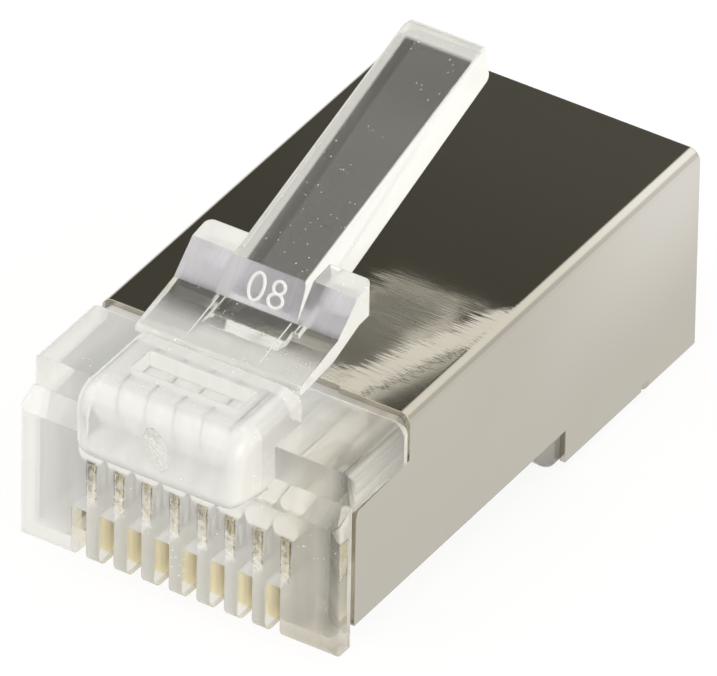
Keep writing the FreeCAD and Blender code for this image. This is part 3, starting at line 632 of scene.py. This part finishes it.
class PLUG_OT_finish_plastic(bpy.types.Operator):
    """Gives the housing and the latch lever their clear polycarbonate"""

    bl_idname = "plug.finish_plastic"
    bl_label = "Finish the clear plastic"

    def execute(self, context):
        s = context.scene.plug_clear_plastic
        boss = ((-3.1, HOUSING_FRONT / MM - 0.1, 6.0), (3.1, HOUSING_FRONT / MM + 1.5, 9.0))
        blade_low, blade_high = (np.array(corner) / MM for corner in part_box("contact_1"))
        last_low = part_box("contact_8")[0][0] / MM
        pitch = abs(last_low - blade_low[0]) / 7
        first = min(last_low, blade_low[0])
        # each pane starts 0.42 mm to the right of its blade's left side; the pockets start 0.62 mm behind
        # the blades' front edges and end 0.3 mm beyond the blades
        pane_width, pane_foot, pane_top = 0.38, 3.44, 5.10
        windows = (first + 0.42, pitch, pane_width, pane_foot, pane_top,
                   blade_low[1] + 0.62, blade_high[1] + 0.3, blade_high[2] + 0.3)
        dress("housing", clear_polycarbonate("clear polycarbonate, thick wall", s.haze, s.inside_haze, sides=boss,
                                             near_side=0.65, windows=windows, flow=0.03))
        low, high = (np.array(corner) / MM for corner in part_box("latch_lever"))
        hinge = HINGE[1] / MM
        dress("latch_lever", clear_polycarbonate("clear polycarbonate, thin lever", s.lever_haze,
                                                 sides=(low - 0.2, high + 0.2), tip=high[1] - 0.36, far_side=0.9,
                                                 step=(hinge + 1.95, hinge + 3.2), clear_from=2.5, dusty=0.06,
                                                 flank=(1.37, 0.011, hinge + 2.76, 0.10)))
        return {"FINISHED"}


class PLUG_OT_finish_shield(bpy.types.Operator):
    """Gives the shield its bright nickel plating"""

    bl_idname = "plug.finish_shield"
    bl_label = "Finish the shield"

    def execute(self, context):
        dress("shield", nickel_plated_sheet("nickel-plated rolled sheet"))
        return {"FINISHED"}


class PLUG_OT_finish_contacts(bpy.types.Operator):
    """Gives the eight contact blades their gold flash"""

    bl_idname = "plug.finish_contacts"
    bl_label = "Finish the contacts"

    def execute(self, context):
        gold = gold_flash("gold flash on stamped bronze")
        for node in frame["nodes"]:
            if node.startswith("contact_"):
                dress(node, gold)
        return {"FINISHED"}


class PLUG_OT_add_gate_mark(bpy.types.Operator):
    """Adds the torn oval where the mould's gate was trimmed off the latch boss"""

    bl_idname = "plug.add_gate_mark"
    bl_label = "Add the gate mark"

    def execute(self, context):
        s = context.scene.plug_moulding_marks
        rings, spokes = 14, 72
        # an oval disc: r and a are polar, and its height is a torn rim at r = 0.86 and crossed waves inside it
        r = np.linspace(0, 1, rings)[1:, None]
        a = (np.arange(spokes) * 2 * np.pi / spokes)[None, :]
        ragged = 1 + 0.012 * np.sin(5 * a + 1) + 0.014 * np.sin(11 * a)
        across = r * ragged * np.cos(a) * s.gate_width / 2
        along = r * ragged * np.sin(a) * s.gate_height / 2
        tilt = np.radians(16)
        x = across * np.cos(tilt) - along * np.sin(tilt)
        z = across * np.sin(tilt) + along * np.cos(tilt)
        torn = (np.sin(x / (0.05 * MM) + 2 * np.sin(z / (0.09 * MM))) * np.sin(z / (0.06 * MM) + 1.3)
                + 0.6 * np.sin((x + z) / (0.035 * MM)))
        rim = np.exp(-((r - 0.86) / 0.09) ** 2)
        height = (0.008 + 0.034 * rim + 0.020 * torn * (1 - rim)) * MM * np.sqrt(np.clip(1 - r ** 6, 0, 1))
        centre = (0.12 * MM, HOUSING_FRONT, HINGE[2] - 1.17 * MM)
        front = np.stack([centre[0] + x, centre[1] - height, centre[2] + z], -1).reshape(-1, 3)
        # its outline is repeated just inside the boss's front face, and closed there
        sunk = centre[1] + 0.02 * MM
        back = np.stack([centre[0] + x[-1], np.full(spokes, sunk), centre[2] + z[-1]], -1)
        points = np.vstack([front, back, [centre[0], centre[1] - 0.012 * MM, centre[2]],
                            [centre[0], sunk, centre[2]]])
        faces = [tuple(f) for f in grid_faces(rings, spokes, False)]
        ahead, behind, last = len(points) - 2, len(points) - 1, (rings - 1) * spokes
        faces += [(ahead, i, (i + 1) % spokes) for i in range(spokes)]
        faces += [(behind, last + (i + 1) % spokes, last + i) for i in range(spokes)]
        frosted = clear_polycarbonate("clear polycarbonate, torn gate", 0.30, dusty=0.22)
        outward(make_piece("gate_mark", points, faces, frosted, "plug", "clear_plastic"))
        return {"FINISHED"}


class PLUG_OT_add_cavity_number(bpy.types.Operator):
    """Adds the mould's plain cavity number to the steep face of the lever"""

    bl_idname = "plug.add_cavity_number"
    bl_label = "Add the cavity number"

    def execute(self, context):
        s = context.scene.plug_moulding_marks
        # the steep face rises from 2.01 mm behind the hinge and 0.65 above it to 2.76 behind and 1.76 above
        foot = np.array(HINGE) + np.array([0, 2.01, 0.65]) * MM
        head = np.array(HINGE) + np.array([0, 2.76, 1.76]) * MM
        rise = (head - foot) / np.linalg.norm(head - foot)
        right = np.array([1.0, 0, 0])
        out = np.cross(right, rise)
        middle = (foot + head) / 2 + right * 0.17 * MM - rise * 0.03 * MM
        parts = []
        pitch = 0.76 * s.number_height
        a = np.arange(48) * 2 * np.pi / 48
        for k, digit in enumerate(s.number):
            start = middle + right * pitch * (k - (len(s.number) - 1) / 2)
            for (cx, cy), half_width, half_height in digit_rings(digit, s.number_height - s.stroke):
                ring = (start + np.outer(cx + half_width * np.cos(a), right)
                        + np.outer(cy + half_height * np.sin(a), rise))
                parts.append(bead(ring, out, s.stroke, 0.10 * MM, True))
        frosted = clear_polycarbonate("clear polycarbonate, spark-eroded", 0.80, frosting=0.3)
        outward(make_piece("cavity_number", *joined(parts), frosted, "latch", "clear_plastic"))
        return {"FINISHED"}


class PLUG_OT_add_witness_lines(bpy.types.Operator):
    """Adds the two fine lines that the mould's insert leaves along the thin plate of the lever"""

    bl_idname = "plug.add_witness_lines"
    bl_label = "Add the witness lines"

    def execute(self, context):
        # straight lines on the plate's slope, from 0.1 mm behind the hinge to the foot of the steep face
        start = np.array(HINGE) + np.array([0, 0.10, 0.22]) * MM
        end = np.array(HINGE) + np.array([0, 2.00, 0.645]) * MM
        slope = (end - start) / np.linalg.norm(end - start)
        up = np.cross(np.array([1.0, 0, 0]), slope)
        t = np.linspace(0, 1, 40)[:, None]
        parts = [bead(start + (end - start) * t + np.array([x, 0, 0]) * MM, up, 0.05 * MM, 0.05 * MM, False)
                 for x in (-1.33, 1.33)]
        frosted = clear_polycarbonate("clear polycarbonate, witness line", 0.6, frosting=0.2)
        outward(make_piece("witness_lines", *joined(parts), frosted, "latch", "clear_plastic"))
        return {"FINISHED"}


class PLUG_OT_set_stage(bpy.types.Operator):
    """Sets the pale floor, the studio surround, the lamps and the camera"""

    bl_idname = "plug.set_stage"
    bl_label = "Set the stage"

    def execute(self, context):
        scene = context.scene
        s = scene.plug_stage
        scene.view_settings.view_transform = "Standard"

        floor_mesh = bpy.data.meshes.new("floor")
        half = 1.5  # metres
        floor_mesh.from_pydata([(-half, -half, 0), (half, -half, 0), (half, half, 0), (-half, half, 0)], [],
                               [(0, 1, 2, 3)])
        floor = bpy.data.objects.new("floor", floor_mesh)
        scene.collection.objects.link(floor)
        floor.location.z = CAD_LOW[2] - 0.02 * MM
        # matt white card, which glows a little where it is seen, so the ground stays white under the plug
        paper, tree = new_material("matt white card")
        path = add(tree, "ShaderNodeLightPath")
        seen = add(tree, "ShaderNodeMath", operation="MAXIMUM",
                   links={0: path.outputs["Is Camera Ray"], 1: path.outputs["Is Glossy Ray"]})
        seen_or_through = add(tree, "ShaderNodeMath", operation="MAXIMUM",
                              links={0: seen.outputs[0], 1: path.outputs["Is Transmission Ray"]})
        card = add(tree, "ShaderNodeBsdfDiffuse", {"Color": (*s.floor_colour, 1)})
        glow = add(tree, "ShaderNodeEmission", {"Color": (1, 1, 1, 1), "Strength": 1.03})
        lit = add(tree, "ShaderNodeMixShader", {0: 0.86}, {1: card.outputs[0], 2: glow.outputs[0]})
        either = add(tree, "ShaderNodeMixShader",
                     links={0: seen_or_through.outputs[0], 1: card.outputs[0], 2: lit.outputs[0]})
        add(tree, "ShaderNodeOutputMaterial", links={"Surface": either.outputs[0]})
        floor_mesh.materials.append(paper)

        # the surround is white, with one dark olive side that the flat top mirrors
        world = bpy.data.worlds.new("studio surround")
        world.use_nodes = True
        tree = world.node_tree
        tree.nodes.clear()
        towards = add(tree, "ShaderNodeTexCoord").outputs["Generated"]
        unit = add(tree, "ShaderNodeVectorMath", links={0: towards}, operation="NORMALIZE")
        dark_side = Vector((-0.62, 0.62, 0.46)).normalized()
        facing = add(tree, "ShaderNodeVectorMath", {1: dark_side}, {0: unit.outputs[0]}, operation="DOT_PRODUCT")
        dark = add(tree, "ShaderNodeMapRange", {"From Min": 0.87, "From Max": 0.93},
                   {"Value": facing.outputs["Value"]}, interpolation_type="SMOOTHSTEP")
        shade = add(tree, "ShaderNodeMix", {6: (1.0, 0.995, 0.97, 1), 7: (0.114, 0.109, 0.092, 1)},
                    {"Factor": dark.outputs[0]}, data_type="RGBA")
        around = add(tree, "ShaderNodeBackground", {"Strength": s.surround}, {"Color": shade.outputs[2]})
        white = add(tree, "ShaderNodeBackground", {"Color": (1, 1, 1, 1), "Strength": 1.0})
        path = add(tree, "ShaderNodeLightPath")
        both = add(tree, "ShaderNodeMixShader",
                   links={0: path.outputs["Is Camera Ray"], 1: around.outputs[0], 2: white.outputs[0]})
        add(tree, "ShaderNodeOutputWorld", links={"Surface": both.outputs[0]})
        scene.world = world

        # the lamps and the camera aim at a point near the plug's middle
        centre = Vector((0.26, 0.009, 5.163)) * MM
        # the rear softbox lies just beside the dark side, so the shield's dent and its bend catch it
        for name, direction, width, height, power in (
                ("key softbox", (-0.80, -0.45, 0.85), 0.46, 0.46, s.key),
                ("rear softbox", (0.33, 0.69, 0.69), 0.56, 0.18, s.rear),
                ("side softbox", (1.0, -0.12, 0.35), 0.34, 0.34, s.side)):
            lamp = bpy.data.lights.new(name, "AREA")
            lamp.shape = "RECTANGLE"
            lamp.size, lamp.size_y = width, height
            lamp.energy = power
            lamp.color = (1.0, 0.985, 0.96)
            obj = bpy.data.objects.new(name, lamp)
            scene.collection.objects.link(obj)
            towards_lamp = Vector(direction).normalized()
            obj.location = centre + towards_lamp * LAMP_DISTANCE
            obj.rotation_euler = towards_lamp.to_track_quat("Z", "Y").to_euler()

        camera = bpy.data.objects.new("camera", bpy.data.cameras.new("camera"))
        scene.collection.objects.link(camera)
        # a long lens from the front right, 36 degrees above the floor
        camera.data.sensor_width = 36
        camera.data.lens = 950.17
        camera.data.clip_start = 0.05
        camera.data.clip_end = 10
        right = Vector((0.84223639, 0.53892738, 0.01396937))
        up = Vector((-0.32577851, 0.48813951, 0.809684))
        back = right.cross(up).normalized()
        turn = Matrix((right, up, back)).transposed().to_4x4()
        camera.matrix_world = Matrix.Translation(centre + back * s.distance) @ turn
        scene.camera = camera
        return {"FINISHED"}


OPERATORS = (
    PLUG_OT_finish_plastic,
    PLUG_OT_finish_shield,
    PLUG_OT_finish_contacts,
    PLUG_OT_add_gate_mark,
    PLUG_OT_add_cavity_number,
    PLUG_OT_add_witness_lines,
    PLUG_OT_set_stage,
)


class PLUG_PT_finishes(bpy.types.Panel):
    """Lists the plug's finishes and pieces"""

    bl_idname = "PLUG_PT_finishes"
    bl_label = "Modular plug"
    bl_space_type = "VIEW_3D"
    bl_region_type = "UI"
    bl_category = "Plug"

    def draw(self, context):
        for operator in OPERATORS:
            self.layout.operator(operator.bl_idname)
        for name, group in SETTINGS.items():
            box = self.layout.box()
            for key in group.__annotations__:
                box.prop(getattr(context.scene, name), key)


CLASSES = (*SETTINGS.values(), *OPERATORS, PLUG_PT_finishes)


def register():
    """Registers the classes and puts the settings on the scene."""
    for each in CLASSES:
        bpy.utils.register_class(each)
    for name, group in SETTINGS.items():
        setattr(bpy.types.Scene, name, PointerProperty(type=group))


def unregister():
    """Takes the settings off the scene and unregisters the classes."""
    for name in SETTINGS:
        delattr(bpy.types.Scene, name)
    for each in reversed(CLASSES):
        bpy.utils.unregister_class(each)


def main():
    """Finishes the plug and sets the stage."""
    register()
    bpy.ops.plug.finish_plastic()
    bpy.ops.plug.finish_shield()
    bpy.ops.plug.finish_contacts()
    bpy.ops.plug.add_gate_mark()
    bpy.ops.plug.add_cavity_number()
    bpy.ops.plug.add_witness_lines()
    bpy.ops.plug.set_stage()


if __name__ == "__main__":
    main()
